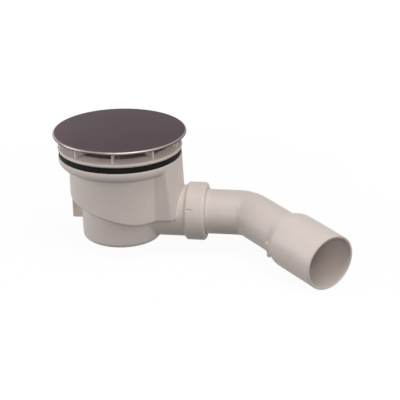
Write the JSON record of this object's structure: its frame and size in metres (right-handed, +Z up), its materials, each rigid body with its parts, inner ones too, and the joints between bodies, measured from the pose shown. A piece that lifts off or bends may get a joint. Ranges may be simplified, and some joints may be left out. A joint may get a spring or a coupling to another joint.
{
  "type": "shower trap",
  "caption": "Shower waste trap: steel cover on a clamped tray flange, lift-out dip tube in a sump cup, and a side outlet with union nut and angled bend.",
  "frame": {"origin": "on the trap's upright axis, at the tray seat between the flange washer and the body seal", "axes": "+Z up out of the tray, +X along the outlet spigot, the bend turns towards -Y"},
  "size_m": [0.2694, 0.1543, 0.111],
  "materials": {
    "white_plastic": "satin moulded",
    "cover_steel": "fine brushed",
    "black_rubber": "matt"
  },
  "bodies": {
    "root": {"cover_cap": "cover_steel", "cover_carrier": "white_plastic", "flange_ring": "white_plastic", "flange_washer": "black_rubber", "body_seal": "black_rubber", "trap_body": "white_plastic", "dip_tube": "white_plastic", "dip_tube_seal": "black_rubber", "outlet_nut": "white_plastic", "slip_washer": "white_plastic", "cone_seal": "black_rubber", "outlet_bend": "white_plastic"}
  },
  "joints": []
}
